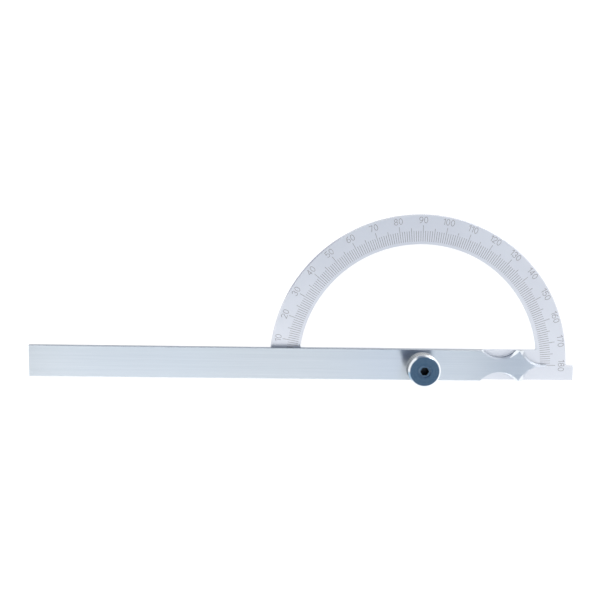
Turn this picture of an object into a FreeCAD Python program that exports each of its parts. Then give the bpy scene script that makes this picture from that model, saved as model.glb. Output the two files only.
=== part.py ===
"""Bevel protractor: a half-round degree plate, a long arm with a bevelled pointer, and a knurled clamp.

Millimetres. The origin is on the pivot axis at the plate's underside, +Z points out of the graduated
face, +X to the 180 mark and +Y to the 90 mark. The arm is shown with its pointer at 180.
"""
import FreeCAD, Part
import math
import os
import Sketcher

SIZES = {
    # Degree plate: a half-round arc over a straight base bar, with a D-shaped window between them.
    "scale_radius": 60.0,
    "scale_width": 11.8,
    "window_corner_radius": 0.5,
    "bar_half_width": 6.15,
    "bar_overhang": 3.2,
    "plate_thickness": 2.0,
    "plate_edge_break": 0.3,
    # Arm: a flat steel blade, square at its far end, waisted and pointed at its near end.
    "arm_reach": 154.8,
    "arm_half_width": 6.25,
    "arm_thickness": 2.0,
    "arm_edge_break": 0.2,
    "pointer_overlap": 3.6,
    "reading_edge_thickness": 0.4,
    # Waist: a round scallop on each side behind the pointer, wider at the face than at the foot.
    "waist_setback": 19.2,
    "waist_foot_radius": 8.85,
    "waist_foot_half_width": 3.05,
    "waist_face_radius": 10.3,
    "waist_face_half_width": 2.55,
    # Pointer: each side is a hollow arc that runs out into a needle, bevelled in the same way.
    "needle_half_width": 0.43,
    "needle_length": 1.9,
    "pointer_foot_radius": 7.6,
    "face_arc_setback": 0.2,
    "pointer_face_radius": 12.7,
    "bevel_width_at_needle": 1.2,
    # Pivot bush: a flange sunk flush in the plate's back, with a barrel that the arm turns on.
    "flange_radius": 5.4,
    "flange_thickness": 0.8,
    "barrel_radius": 4.0,
    "barrel_setback": 0.3,
    "bush_chamfer": 0.2,
    "bush_floor": 0.9,
    # Clamp screw: M5, fixed in the knob, with a hex socket in the end that shows.
    "screw_radius": 2.5,
    "screw_sink": 0.2,
    "screw_chamfer": 0.4,
    "socket_across_flats": 3.0,
    "socket_depth": 3.0,
    # Washers under the knob: a bowed spring washer on the arm and a flat one above it.
    "washer_radius": 4.75,
    "spring_washer_thickness": 0.5,
    "spring_washer_bow": 0.4,
    "thrust_washer_thickness": 1.0,
    "washer_chamfer": 0.15,
    # Knob: a neck on the thrust washer and a knurled head with a turned chamfer round its front face.
    "neck_radius": 4.25,
    "neck_length": 3.63,
    "head_radius": 6.35,
    "head_length": 7.2,
    "head_chamfer_width": 0.77,
    "head_chamfer_length": 0.8,
    "head_rear_chamfer": 0.4,
    "knurl_count": 50,
    "knurl_depth": 0.22,
    "knurl_land": 0.35,
    # Clearances, each on the radius or along the axis.
    "journal_clearance": 0.03,
    "arm_seat_clearance": 0.03,
    "press_clearance": 0.01,
    "thread_clearance": 0.05,
    "washer_bore_clearance": 0.15,
    "stack_clearance": 0.02,
    "screw_foot_clearance": 0.2,
}

# The window's arch leaves the scale's width standing, and the pointer reaches out over the scale.
WINDOW_RADIUS = "(sizes.scale_radius - sizes.scale_width)"
POINTER_REACH = f"({WINDOW_RADIUS} + sizes.pointer_overlap)"
WAIST_X = f"({POINTER_REACH} - sizes.waist_setback)"

# Heights of the clamp's stack above the plate's underside.
ARM_FOOT = "(sizes.plate_thickness + sizes.arm_seat_clearance)"
ARM_FACE = f"({ARM_FOOT} + sizes.arm_thickness)"
SPRING_TOP = f"({ARM_FACE} + sizes.spring_washer_bow + sizes.spring_washer_thickness)"
THRUST_FOOT = f"({SPRING_TOP} + sizes.stack_clearance)"
KNOB_FOOT = f"({THRUST_FOOT} + sizes.thrust_washer_thickness + sizes.stack_clearance)"
KNOB_LENGTH = "(sizes.neck_length + sizes.head_length)"
SCREW_FOOT = "(sizes.bush_floor + sizes.screw_foot_clearance)"
SCREW_LENGTH = f"({KNOB_FOOT} + {KNOB_LENGTH} - sizes.screw_sink - {SCREW_FOOT})"

# Cutting profiles run this far past the edge that they cut.
OVERCUT = 1.0

# Two lengths that differ by less than this are the same length.
SAME = 1e-4

doc = FreeCAD.newDocument("bevel_protractor")
sheet = doc.addObject("Spreadsheet::Sheet", "sizes")
for row, (alias, length) in enumerate(SIZES.items(), start=1):
    sheet.set(f"A{row}", str(length))
    sheet.setAlias(f"A{row}", alias)
doc.recompute()


def value(expression):
    """The number that an expression over the sheet comes to."""
    return float(sheet.evalExpression(expression))


def new_body(label, height="0"):
    """An empty body that stands at a height above the plate's underside."""
    body = doc.addObject("PartDesign::Body", label)
    body.Label = label
    body.setExpression("Placement.Base.z", height)
    return body


def new_sketch(body, name, plane="XY_Plane", height="0"):
    """A sketch on one of the body's own origin planes, raised along the plane's normal."""
    sketch = body.newObject("Sketcher::SketchObject", name)
    support = [feature for feature in body.Origin.OriginFeatures if feature.Role == plane][0]
    sketch.AttachmentSupport = [(support, "")]
    sketch.MapMode = "FlatFace"
    sketch.setExpression("AttachmentOffset.Base.z", height)
    return sketch


def bind(sketch, constraint, name, expression):
    """Add a constraint and drive it from the sheet."""
    index = sketch.addConstraint(constraint)
    sketch.renameConstraint(index, name)
    sketch.setExpression(f"Constraints.{name}", expression)


def pin(sketch, geometry, vertex, name, x, y):
    """Hold a vertex at a place given by two expressions, measured from the sketch's origin."""
    for axis, expression in (("X", x), ("Y", y)):
        kind = "Distance" + axis
        constraint = Sketcher.Constraint(kind, -1, 1, geometry, vertex, value(expression))
        bind(sketch, constraint, f"{name}_{axis.lower()}", expression)


def draw_circle(sketch, name, radius, x="0", y="0"):
    """A circle whose centre and radius follow the sheet."""
    centre = FreeCAD.Vector(value(x), value(y), 0)
    circle = sketch.addGeometry(Part.Circle(centre, FreeCAD.Vector(0, 0, 1), value(radius)))
    bind(sketch, Sketcher.Constraint("Radius", circle, value(radius)), f"{name}_radius", radius)
    pin(sketch, circle, 3, f"{name}_centre", x, y)


def draw_polygon(sketch, corners):
    """A closed outline of straight lines through corners given as pairs of expressions."""
    points = [FreeCAD.Vector(value(x), value(y), 0) for x, y in corners]
    ends = points[1:] + points[:1]
    lines = [sketch.addGeometry(Part.LineSegment(start, end)) for start, end in zip(points, ends)]
    for line, following in zip(lines, lines[1:] + lines[:1]):
        sketch.addConstraint(Sketcher.Constraint("Coincident", line, 2, following, 1))
    for line, (x, y) in zip(lines, corners):
        pin(sketch, line, 1, f"corner_{line}", x, y)


def pad(body, sketch, name, length):
    """Raise a sketch into a solid."""
    feature = body.newObject("PartDesign::Pad", name)
    feature.Profile = sketch
    feature.setExpression("Length", length)
    doc.recompute()
    return feature


def pocket(body, sketch, name, depth=None, upwards=False):
    """Cut a sketch out of the body, right through unless a depth is given, and see that it cuts."""
    before = body.Shape.Volume
    feature = body.newObject("PartDesign::Pocket", name)
    feature.Profile = sketch
    feature.Reversed = upwards
    if depth is None:
        feature.Type = "ThroughAll"
        feature.Midplane = True
    else:
        feature.setExpression("Length", depth)
    doc.recompute()
    if body.Shape.Volume >= before:
        raise RuntimeError(f"{name} cuts nothing")
    return feature


def revolve(body, sketch, name):
    """Turn a half profile in the XZ plane about the pivot axis."""
    feature = body.newObject("PartDesign::Revolution", name)
    feature.Profile = sketch
    feature.ReferenceAxis = (sketch, ["V_Axis"])
    feature.Angle = 360
    doc.recompute()
    return feature


def chamfer(body, name, size, wanted):
    """Chamfer the edges of the body's last feature for which wanted(edge) is true."""
    base = body.Tip
    names = [f"Edge{number}" for number, edge in enumerate(base.Shape.Edges, start=1) if wanted(edge)]
    feature = body.newObject("PartDesign::Chamfer", name)
    feature.Base = (base, names)
    feature.setExpression("Size", size)
    doc.recompute()
    return feature


def lies_at_height(edge, height):
    """Whether an edge lies wholly in the level plane at this height."""
    box = edge.BoundBox
    return abs(box.ZMin - height) < SAME and abs(box.ZMax - height) < SAME


def make_scale_plate():
    """The degree plate: outline with the bar's two steps, D-shaped window, and the bush's seat."""
    body = new_body("scale_plate")
    outline = new_sketch(body, "plate_outline")
    radius = value("sizes.scale_radius")
    bar_end = "sizes.scale_radius + sizes.bar_overhang"
    foot = value("-sizes.bar_half_width")
    end = value(bar_end)
    arc_curve = Part.Circle(FreeCAD.Vector(0, 0, 0), FreeCAD.Vector(0, 0, 1), radius)
    arc = outline.addGeometry(Part.ArcOfCircle(arc_curve, 0, math.pi))
    corners = [(-radius, 0), (-end, 0), (-end, foot), (end, foot), (end, 0), (radius, 0)]
    points = [FreeCAD.Vector(x, y, 0) for x, y in corners]
    lines = [outline.addGeometry(Part.LineSegment(a, b)) for a, b in zip(points, points[1:])]
    outline.addConstraint(Sketcher.Constraint("Coincident", arc, 2, lines[0], 1))
    for line, following in zip(lines, lines[1:]):
        outline.addConstraint(Sketcher.Constraint("Coincident", line, 2, following, 1))
    outline.addConstraint(Sketcher.Constraint("Coincident", lines[-1], 2, arc, 1))
    outline.addConstraint(Sketcher.Constraint("Coincident", arc, 3, -1, 1))
    outline.addConstraint(Sketcher.Constraint("PointOnObject", arc, 1, -1))
    bind(outline, Sketcher.Constraint("Radius", arc, radius), "scale_radius", "sizes.scale_radius")
    for line in (lines[0], lines[2], lines[4]):
        outline.addConstraint(Sketcher.Constraint("Horizontal", line))
    for line in (lines[1], lines[3]):
        outline.addConstraint(Sketcher.Constraint("Vertical", line))
    outline.addConstraint(Sketcher.Constraint("PointOnObject", arc, 2, -1))
    pin(outline, lines[3], 1, "bar_corner", bar_end, "-sizes.bar_half_width")
    mirrored_end = Sketcher.Constraint("DistanceX", lines[2], 1, -1, 1, end)
    bind(outline, mirrored_end, "bar_left_end", bar_end)
    pad(body, outline, "plate_blank", "sizes.plate_thickness")

    top = value("sizes.plate_thickness")
    chamfer(body, "plate_edge", "sizes.plate_edge_break", lambda edge: lies_at_height(edge, top))

    window = new_sketch(body, "window_outline")
    sill = value("sizes.bar_half_width")
    window_radius = value(WINDOW_RADIUS)
    first = math.asin(sill / window_radius)
    curve = Part.Circle(FreeCAD.Vector(0, 0, 0), FreeCAD.Vector(0, 0, 1), window_radius)
    arch = window.addGeometry(Part.ArcOfCircle(curve, first, math.pi - first))
    half_chord = window_radius * math.cos(first)
    left, right = FreeCAD.Vector(-half_chord, sill, 0), FreeCAD.Vector(half_chord, sill, 0)
    sill_line = window.addGeometry(Part.LineSegment(left, right))
    window.addConstraint(Sketcher.Constraint("Coincident", arch, 2, sill_line, 1))
    window.addConstraint(Sketcher.Constraint("Coincident", sill_line, 2, arch, 1))
    window.addConstraint(Sketcher.Constraint("Coincident", arch, 3, -1, 1))
    bind(window, Sketcher.Constraint("Radius", arch, window_radius), "arch_radius", WINDOW_RADIUS)
    window.addConstraint(Sketcher.Constraint("Horizontal", sill_line))
    sill_height = Sketcher.Constraint("DistanceY", -1, 1, sill_line, 1, sill)
    bind(window, sill_height, "sill_height", "sizes.bar_half_width")
    pocket(body, window, "window")

    base = body.Tip
    upright = []
    for number, edge in enumerate(base.Shape.Edges, start=1):
        box = edge.BoundBox
        stands = box.XLength < SAME and box.YLength < SAME
        if stands and abs(box.YMin - sill) < SAME and abs(abs(box.XMin) - half_chord) < SAME:
            upright.append(f"Edge{number}")
    corners = body.newObject("PartDesign::Fillet", "window_corners")
    corners.Base = (base, upright)
    corners.setExpression("Radius", "sizes.window_corner_radius")
    doc.recompute()

    bore = new_sketch(body, "barrel_seat_circle")
    draw_circle(bore, "barrel_seat", "sizes.barrel_radius + sizes.press_clearance")
    pocket(body, bore, "barrel_seat")
    recess = new_sketch(body, "flange_seat_circle")
    draw_circle(recess, "flange_seat", "sizes.flange_radius + sizes.press_clearance")
    pocket(body, recess, "flange_seat", "sizes.flange_thickness", upwards=True)
    return body


def draw_hollow_side(sketch, radius, lowest_x, lowest_y):
    """One hollow side of the pointer, closed round the metal that is cut away outside it.

    The arc comes down to its lowest point, and the edge runs on level from there past the tip.
    """
    start_x = value(lowest_x)
    low = value(lowest_y)
    size = value(radius)
    top = value(f"sizes.arm_half_width + {OVERCUT}")
    tip = value(f"{POINTER_REACH} + {OVERCUT}")
    centre = FreeCAD.Vector(start_x, low + size, 0)
    left_angle = math.pi + math.asin((centre.y - top) / size)
    curve = Part.Circle(centre, FreeCAD.Vector(0, 0, 1), size)
    arc = sketch.addGeometry(Part.ArcOfCircle(curve, left_angle, 1.5 * math.pi))
    left = FreeCAD.Vector(centre.x + size * math.cos(left_angle), top, 0)
    path = [FreeCAD.Vector(start_x, low, 0), FreeCAD.Vector(tip, low, 0), FreeCAD.Vector(tip, top, 0), left]
    lines = [sketch.addGeometry(Part.LineSegment(a, b)) for a, b in zip(path, path[1:])]
    sketch.addConstraint(Sketcher.Constraint("Coincident", arc, 2, lines[0], 1))
    for line, following in zip(lines, lines[1:]):
        sketch.addConstraint(Sketcher.Constraint("Coincident", line, 2, following, 1))
    sketch.addConstraint(Sketcher.Constraint("Coincident", lines[-1], 2, arc, 1))
    bind(sketch, Sketcher.Constraint("Radius", arc, size), "side_radius", radius)
    pin(sketch, lines[0], 1, "lowest_point", lowest_x, lowest_y)
    sketch.addConstraint(Sketcher.Constraint("Vertical", arc, 3, lines[0], 1))
    sketch.addConstraint(Sketcher.Constraint("Horizontal", lines[0]))
    sketch.addConstraint(Sketcher.Constraint("Vertical", lines[1]))
    sketch.addConstraint(Sketcher.Constraint("Horizontal", lines[2]))
    pin(sketch, lines[2], 1, "outer_corner", f"{POINTER_REACH} + {OVERCUT}",
        f"sizes.arm_half_width + {OVERCUT}")


def loft_cut(body, name, lower, upper):
    """Cut away the straight-sided space between two outlines, and see that it cuts."""
    before = body.Shape.Volume
    feature = body.newObject("PartDesign::SubtractiveLoft", name)
    feature.Profile = lower
    feature.Sections = [upper]
    feature.Ruled = True
    doc.recompute()
    if body.Shape.Volume >= before:
        raise RuntimeError(f"{name} cuts nothing")
    return feature


def make_swing_arm():
    """The arm: a bar, waisted by two scallops, with a needle pointer between two hollow sides.

    Every scalloped side is cut straight down to a thin reading edge and bevelled from there up to the
    face, so the cut is a wall to the foot outline first and then a loft from foot to face outline.
    """
    body = new_body("swing_arm", ARM_FOOT)
    blank = new_sketch(body, "arm_blank_outline")
    near, far, side = POINTER_REACH, "-sizes.arm_reach", "sizes.arm_half_width"
    draw_polygon(blank, [(far, f"-{side}"), (near, f"-{side}"), (near, side), (far, side)])
    pad(body, blank, "arm_blank", "sizes.arm_thickness")
    top = value("sizes.arm_thickness")
    chamfer(body, "arm_edges", "sizes.arm_edge_break",
            lambda edge: lies_at_height(edge, top) and edge.BoundBox.XMin < 0)

    foot = ("sizes.waist_foot_radius", WAIST_X, "sizes.waist_foot_half_width + sizes.waist_foot_radius")
    face = ("sizes.waist_face_radius", WAIST_X, "sizes.waist_face_half_width + sizes.waist_face_radius")
    waist_wall = new_sketch(body, "waist_wall_circle")
    draw_circle(waist_wall, "wall", *foot)
    waist = pocket(body, waist_wall, "waist")
    waist_foot = new_sketch(body, "waist_foot_circle", height="sizes.reading_edge_thickness")
    draw_circle(waist_foot, "foot", *foot)
    waist_face = new_sketch(body, "waist_face_circle", height="sizes.arm_thickness")
    draw_circle(waist_face, "face", *face)
    waist_bevel = loft_cut(body, "waist_bevel", waist_foot, waist_face)

    foot = ("sizes.pointer_foot_radius", f"{POINTER_REACH} - sizes.needle_length",
            "sizes.needle_half_width")
    face = ("sizes.pointer_face_radius", f"{POINTER_REACH} - sizes.face_arc_setback",
            "sizes.needle_half_width - sizes.bevel_width_at_needle")
    side_wall = new_sketch(body, "pointer_wall_outline")
    draw_hollow_side(side_wall, *foot)
    pointer_side = pocket(body, side_wall, "pointer_side")
    bevel_foot = new_sketch(body, "pointer_foot_outline", height="sizes.reading_edge_thickness")
    draw_hollow_side(bevel_foot, *foot)
    bevel_face = new_sketch(body, "pointer_face_outline", height="sizes.arm_thickness")
    draw_hollow_side(bevel_face, *face)
    pointer_bevel = loft_cut(body, "pointer_bevel", bevel_foot, bevel_face)

    mirror_plane = [feature for feature in body.Origin.OriginFeatures if feature.Role == "XZ_Plane"][0]
    other_side = body.newObject("PartDesign::Mirrored", "other_side")
    other_side.Originals = [waist, waist_bevel, pointer_side, pointer_bevel]
    other_side.MirrorPlane = (mirror_plane, [""])
    body.Tip = other_side
    doc.recompute()

    bore = new_sketch(body, "journal_bore_circle")
    draw_circle(bore, "journal_bore", "sizes.barrel_radius + sizes.journal_clearance")
    pocket(body, bore, "journal_bore")
    return body


def make_pivot_bush():
    """The bush: a closed flange, flush with the plate's back, and a threaded barrel."""
    body = new_body("pivot_bush")
    profile = new_sketch(body, "bush_profile", "XZ_Plane")
    top = f"{ARM_FACE} - sizes.barrel_setback"
    thread = "sizes.screw_radius + sizes.thread_clearance"
    draw_polygon(profile, [
        ("0", "0"),
        ("sizes.flange_radius", "0"),
        ("sizes.flange_radius", "sizes.flange_thickness"),
        ("sizes.barrel_radius", "sizes.flange_thickness"),
        ("sizes.barrel_radius", f"{top} - sizes.bush_chamfer"),
        ("sizes.barrel_radius - sizes.bush_chamfer", top),
        (f"{thread} + sizes.bush_chamfer", top),
        (thread, f"{top} - sizes.bush_chamfer"),
        (thread, "sizes.bush_floor"),
        ("0", "sizes.bush_floor"),
    ])
    revolve(body, profile, "bush")
    return body


def make_spring_washer():
    """The spring washer: a ring cut out of a strip bent to a wide arc about the Y direction.

    Its two low edges stand on the arm and its crest carries the thrust washer.
    """
    bend = "(sizes.washer_radius ^ 2 + sizes.spring_washer_bow ^ 2) / (2 * sizes.spring_washer_bow)"
    width = "4 * sizes.washer_radius"
    bent = []
    for name, radius in (("bend_outer", f"{bend} + sizes.spring_washer_thickness"), ("bend_inner", bend)):
        cylinder = doc.addObject("Part::Cylinder", name)
        cylinder.setExpression("Radius", radius)
        cylinder.setExpression("Height", width)
        cylinder.Placement.Rotation = FreeCAD.Rotation(FreeCAD.Vector(1, 0, 0), -90)
        cylinder.setExpression("Placement.Base.y", "-2 * sizes.washer_radius")
        cylinder.setExpression("Placement.Base.z", f"sizes.spring_washer_bow - {bend}")
        bent.append(cylinder)
    strip = doc.addObject("Part::Cut", "bent_strip")
    strip.Base, strip.Tool = bent
    ring_walls = []
    bore = "sizes.screw_radius + sizes.washer_bore_clearance"
    for name, radius in (("ring_outer", "sizes.washer_radius"), ("ring_bore", bore)):
        cylinder = doc.addObject("Part::Cylinder", name)
        cylinder.setExpression("Radius", radius)
        cylinder.setExpression("Height", "2 * (sizes.spring_washer_bow + sizes.spring_washer_thickness)")
        ring_walls.append(cylinder)
    ring = doc.addObject("Part::Cut", "washer_ring")
    ring.Base, ring.Tool = ring_walls
    washer = doc.addObject("Part::Common", "spring_washer")
    washer.Base = ring
    washer.Tool = strip
    washer.Label = "spring_washer"
    washer.setExpression("Placement.Base.z", ARM_FACE)
    return washer


def make_thrust_washer():
    """The flat washer between the spring washer and the knob's neck."""
    body = new_body("thrust_washer", THRUST_FOOT)
    profile = new_sketch(body, "thrust_washer_profile", "XZ_Plane")
    bore = "sizes.screw_radius + sizes.washer_bore_clearance"
    rim = "sizes.washer_radius"
    height = "sizes.thrust_washer_thickness"
    draw_polygon(profile, [
        (bore, "0"),
        (f"{rim} - sizes.washer_chamfer", "0"),
        (rim, "sizes.washer_chamfer"),
        (rim, f"{height} - sizes.washer_chamfer"),
        (f"{rim} - sizes.washer_chamfer", height),
        (bore, height),
    ])
    revolve(body, profile, "washer")
    return body


def make_clamp_knob():
    """The knob: a turned neck and head, then one V groove of the knurl repeated round the head."""
    body = new_body("clamp_knob", KNOB_FOOT)
    profile = new_sketch(body, "knob_profile", "XZ_Plane")
    bore = "sizes.screw_radius + sizes.press_clearance"
    head = "sizes.head_radius"
    rear = "sizes.neck_length"
    front = KNOB_LENGTH
    draw_polygon(profile, [
        (bore, "0"),
        ("sizes.neck_radius", "0"),
        ("sizes.neck_radius", rear),
        (f"{head} - sizes.head_rear_chamfer", rear),
        (head, f"{rear} + sizes.head_rear_chamfer"),
        (head, f"{front} - sizes.head_chamfer_length"),
        (f"{head} - sizes.head_chamfer_width", front),
        (bore, front),
    ])
    revolve(body, profile, "turned_knob")

    groove_outline = new_sketch(body, "knurl_groove_outline", height=f"{rear}")
    half_pitch = "sizes.head_radius * sin(180 deg / sizes.knurl_count)"
    draw_polygon(groove_outline, [
        (f"{head} - sizes.knurl_depth", "0"),
        (f"{head}", half_pitch),
        (f"{head} + {OVERCUT}", half_pitch),
        (f"{head} + {OVERCUT}", f"-({half_pitch})"),
        (f"{head}", f"-({half_pitch})"),
    ])
    length = "sizes.head_length - sizes.head_chamfer_length - sizes.knurl_land"
    groove = pocket(body, groove_outline, "knurl_groove", length, upwards=True)
    knurl = body.newObject("PartDesign::PolarPattern", "knurl")
    knurl.Originals = [groove]
    turning_axis = [feature for feature in body.Origin.OriginFeatures if feature.Role == "Z_Axis"][0]
    knurl.Axis = (turning_axis, [""])
    knurl.Angle = 360
    knurl.setExpression("Occurrences", "sizes.knurl_count")
    body.Tip = knurl
    doc.recompute()
    return body


def make_clamp_screw():
    """The clamp screw: a plain M5 shank with a hex socket; its thread isn't modelled."""
    body = new_body("clamp_screw", SCREW_FOOT)
    profile = new_sketch(body, "screw_profile", "XZ_Plane")
    shank = "sizes.screw_radius"
    length = SCREW_LENGTH
    draw_polygon(profile, [
        ("0", "0"),
        (f"{shank} - sizes.screw_chamfer", "0"),
        (shank, "sizes.screw_chamfer"),
        (shank, f"{length} - sizes.screw_chamfer"),
        (f"{shank} - sizes.screw_chamfer", length),
        ("0", length),
    ])
    revolve(body, profile, "shank")

    hexagon = new_sketch(body, "socket_outline", height=length)
    corner = "sizes.socket_across_flats / sqrt(3)"
    draw_polygon(hexagon, [(f"{corner} * cos({step * 60} deg)", f"{corner} * sin({step * 60} deg)")
                           for step in range(6)])
    pocket(body, hexagon, "socket", "sizes.socket_depth")
    return body


MAKERS = (
    make_scale_plate,
    make_swing_arm,
    make_pivot_bush,
    make_spring_washer,
    make_thrust_washer,
    make_clamp_knob,
    make_clamp_screw,
)

pieces = [make() for make in MAKERS]
doc.recompute()

for item in doc.Objects:
    if "Invalid" in item.State or "Error" in item.State:
        raise RuntimeError(f"{item.Label} failed: {item.State}")
for piece in pieces:
    if piece.Shape.isNull() or not piece.Shape.isValid():
        raise RuntimeError(f"{piece.Label} has no valid shape")

os.makedirs("parts", exist_ok=True)
for piece in pieces:
    piece.Shape.exportStep(f"parts/{piece.Label}.step")
    box = piece.Shape.optimalBoundingBox()
    print(f"{piece.Label}: {piece.Shape.Volume:.1f} mm3, {len(piece.Shape.Solids)} solid,",
          f"X {box.XMin:.2f} to {box.XMax:.2f}, Y {box.YMin:.2f} to {box.YMax:.2f},",
          f"Z {box.ZMin:.2f} to {box.ZMax:.2f}")
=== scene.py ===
# %% [markdown]
# # A steel bevel protractor
#
# The object is a drawing and marking-out gauge. A half-round steel plate carries the degree scale, a
# long brushed arm turns on a pivot in the plate's base bar, and a knurled knob clamps the arm. The
# solids come from the CAD model and are shown as they are. What this lesson adds is their finish, the
# degree marks and numerals, and the light that steel needs to look like steel.

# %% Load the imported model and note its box
import math

import bpy
import numpy as np
from mathutils import Matrix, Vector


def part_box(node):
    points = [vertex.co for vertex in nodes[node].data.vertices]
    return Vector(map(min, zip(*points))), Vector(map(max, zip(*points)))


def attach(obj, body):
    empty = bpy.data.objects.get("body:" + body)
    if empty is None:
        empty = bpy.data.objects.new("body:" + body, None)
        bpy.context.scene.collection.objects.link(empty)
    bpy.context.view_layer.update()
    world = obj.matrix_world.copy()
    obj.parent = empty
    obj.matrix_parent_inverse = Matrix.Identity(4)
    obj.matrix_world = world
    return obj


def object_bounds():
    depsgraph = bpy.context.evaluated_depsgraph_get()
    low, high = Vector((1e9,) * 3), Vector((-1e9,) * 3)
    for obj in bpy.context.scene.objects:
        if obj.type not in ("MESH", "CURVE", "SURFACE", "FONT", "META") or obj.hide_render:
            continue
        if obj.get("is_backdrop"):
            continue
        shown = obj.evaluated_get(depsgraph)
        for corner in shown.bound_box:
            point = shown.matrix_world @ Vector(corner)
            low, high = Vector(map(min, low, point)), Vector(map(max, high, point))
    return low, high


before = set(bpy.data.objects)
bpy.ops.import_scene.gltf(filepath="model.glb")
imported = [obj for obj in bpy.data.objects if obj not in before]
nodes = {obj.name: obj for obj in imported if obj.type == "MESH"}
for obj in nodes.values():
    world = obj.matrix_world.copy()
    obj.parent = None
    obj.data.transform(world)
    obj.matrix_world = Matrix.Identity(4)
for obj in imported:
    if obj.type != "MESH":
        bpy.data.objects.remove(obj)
cad_box = [list(corner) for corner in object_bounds()]

MM = 0.001


def in_mm(box):
    """A box's two corners in millimetres."""
    return [[round(x / MM, 2) for x in corner] for corner in box]


print("the object's box in mm:", in_mm(cad_box))

# %% [markdown]
# ## The camera
#
# The camera looks down at the gauge from well above it and a little to the upper left, so the knob
# leans towards the lower right and shows its upper left side. Its place and turn could be found by
# trying; here they were worked out once from the scale's two arcs and its degree marks, and are given
# as a turn about each axis, the pivot's place before the camera and a focal length.

# %% Work out where the camera stands
plate_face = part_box("scale_plate")[1].z
PITCH, YAW, ROLL = (math.radians(angle) for angle in (7.62, 2.176, -1.074))
PIVOT_IN_VIEW = np.array([47.694, -25.726, -360.044]) * MM


def turn(axis, angle):
    """The matrix that turns a point about one axis (0, 1 or 2) by an angle."""
    c, s = math.cos(angle), math.sin(angle)
    a, b = [(1, 2), (2, 0), (0, 1)][axis]
    matrix = np.eye(3)
    matrix[a, a] = matrix[b, b] = c
    matrix[a, b], matrix[b, a] = -s, s
    return matrix


to_view = turn(2, ROLL) @ turn(0, PITCH) @ turn(1, YAW)
eye = -to_view.T @ PIVOT_IN_VIEW + np.array([0, 0, plate_face])
print("the camera stands at", eye.round(4))

# %% Place the camera
FOCAL_IN_PIXELS = 894.31
FRAME_IN_PIXELS = 600
SENSOR_WIDTH = 36
NEAREST_SEEN = 0.01

scene = bpy.context.scene
camera_data = bpy.data.cameras.new("view_camera")
camera_data.sensor_width = SENSOR_WIDTH
camera_data.lens = SENSOR_WIDTH * FOCAL_IN_PIXELS / FRAME_IN_PIXELS
camera_data.clip_start = NEAREST_SEEN
camera = bpy.data.objects.new("view_camera", camera_data)
scene.collection.objects.link(camera)
placed = np.eye(4)
placed[:3, :3] = to_view.T
placed[:3, 3] = eye
camera.matrix_world = Matrix(placed.tolist())
scene.camera = camera
print("the lens is", round(camera_data.lens, 2), "mm long")

# %% [markdown]
# ## The room
#
# Steel has hardly any colour of its own: it shows what stands round it. So the room is a plain even
# white, as in a product studio, and lights the gauge from everywhere. Lamps alone could do it, but then
# every edge would carry a hard white dot. What the camera and the metal see of the room is a full white,
# by way of Light Path, while the light that it really gives is a little weaker, so that pale steel
# doesn't clip. Such a rule is a small tree of nodes. Nodes could be placed and wired by hand in the
# shader editor; four helpers do the same in few lines, and every finish below is written with them.


# %% Write helpers for node trees
def add_node(tree, kind, **settings):
    """A new node; a keyword sets an input's value where the node has one of that name, else a property."""
    node = tree.nodes.new(kind)
    for key, value in settings.items():
        name = key.replace("_", " ").title()
        if name in node.inputs:
            node.inputs[name].default_value = value
        else:
            setattr(node, key, value)
    return node


def feed(tree, *pairs):
    """Give each input its value: a link where the value comes from a node, else the plain value."""
    for value, target in pairs:
        if isinstance(value, bpy.types.NodeSocket):
            tree.links.new(value, target)
        else:
            target.default_value = value


def calculate(tree, operation, *values):
    """The result of one Math node."""
    node = add_node(tree, "ShaderNodeMath", operation=operation)
    feed(tree, *zip(values, node.inputs))
    return node.outputs[0]


def map_range(tree, value, from_min, from_max, to_min=0.0, to_max=1.0, **settings):
    """A value carried over from one range to another, and held at both ends."""
    node = add_node(tree, "ShaderNodeMapRange", from_min=from_min, from_max=from_max,
                    to_min=to_min, to_max=to_max, **settings)
    feed(tree, (value, node.inputs["Value"]))
    return node.outputs["Result"]


# %% Set the view transform and the room
ROOM_STRENGTH = 0.85
FULL_WHITE = 1.0


def seen_directly(tree):
    """1 for rays that come from the camera, a reflection or glass, else 0."""
    path = add_node(tree, "ShaderNodeLightPath")
    camera_ray, mirrored_ray, glass_ray = (
        path.outputs[name] for name in ("Is Camera Ray", "Is Glossy Ray", "Is Transmission Ray"))
    return calculate(tree, "MAXIMUM", calculate(tree, "MAXIMUM", camera_ray, mirrored_ray), glass_ray)


scene.view_settings.view_transform = "Standard"
room = bpy.data.worlds.new("studio_room")
room.use_nodes = True
scene.world = room
tree = room.node_tree
background = tree.nodes["Background"]
strength = map_range(tree, seen_directly(tree), 0, 1, ROOM_STRENGTH, FULL_WHITE)
feed(tree, ((1, 1, 1, 1), background.inputs["Color"]), (strength, background.inputs["Strength"]))
print("the room gives", ROOM_STRENGTH, "and shows as", FULL_WHITE)

# %% [markdown]
# ## The table
#
# The gauge lies on a white table without edge or horizon. A white cloth would need so much light to come
# out white that the steel on it would burn out. So the cloth is grey, and Light Path adds a glow that
# only the camera and reflections see. The glow doesn't light the gauge, and where the gauge shades the
# cloth a soft shadow is left. The table lies a hair under the gauge, because two surfaces in one plane
# would fight over which is in front.


# %% Start a mesh and a material
def make_mesh_object(name, points, faces):
    """A new flat-shaded object from an array of points and an array of four-sided faces."""
    mesh = bpy.data.meshes.new(name)
    mesh.from_pydata(np.asarray(points, float).tolist(), [], np.asarray(faces, int).tolist())
    mesh.update()
    made = bpy.data.objects.new(name, mesh)
    scene.collection.objects.link(made)
    return made


def rectangle(half_width, half_height):
    """The four corners of a level rectangle round the origin."""
    return [(sx * half_width, sy * half_height, 0) for sx, sy in ((-1, -1), (1, -1), (1, 1), (-1, 1))]


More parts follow.
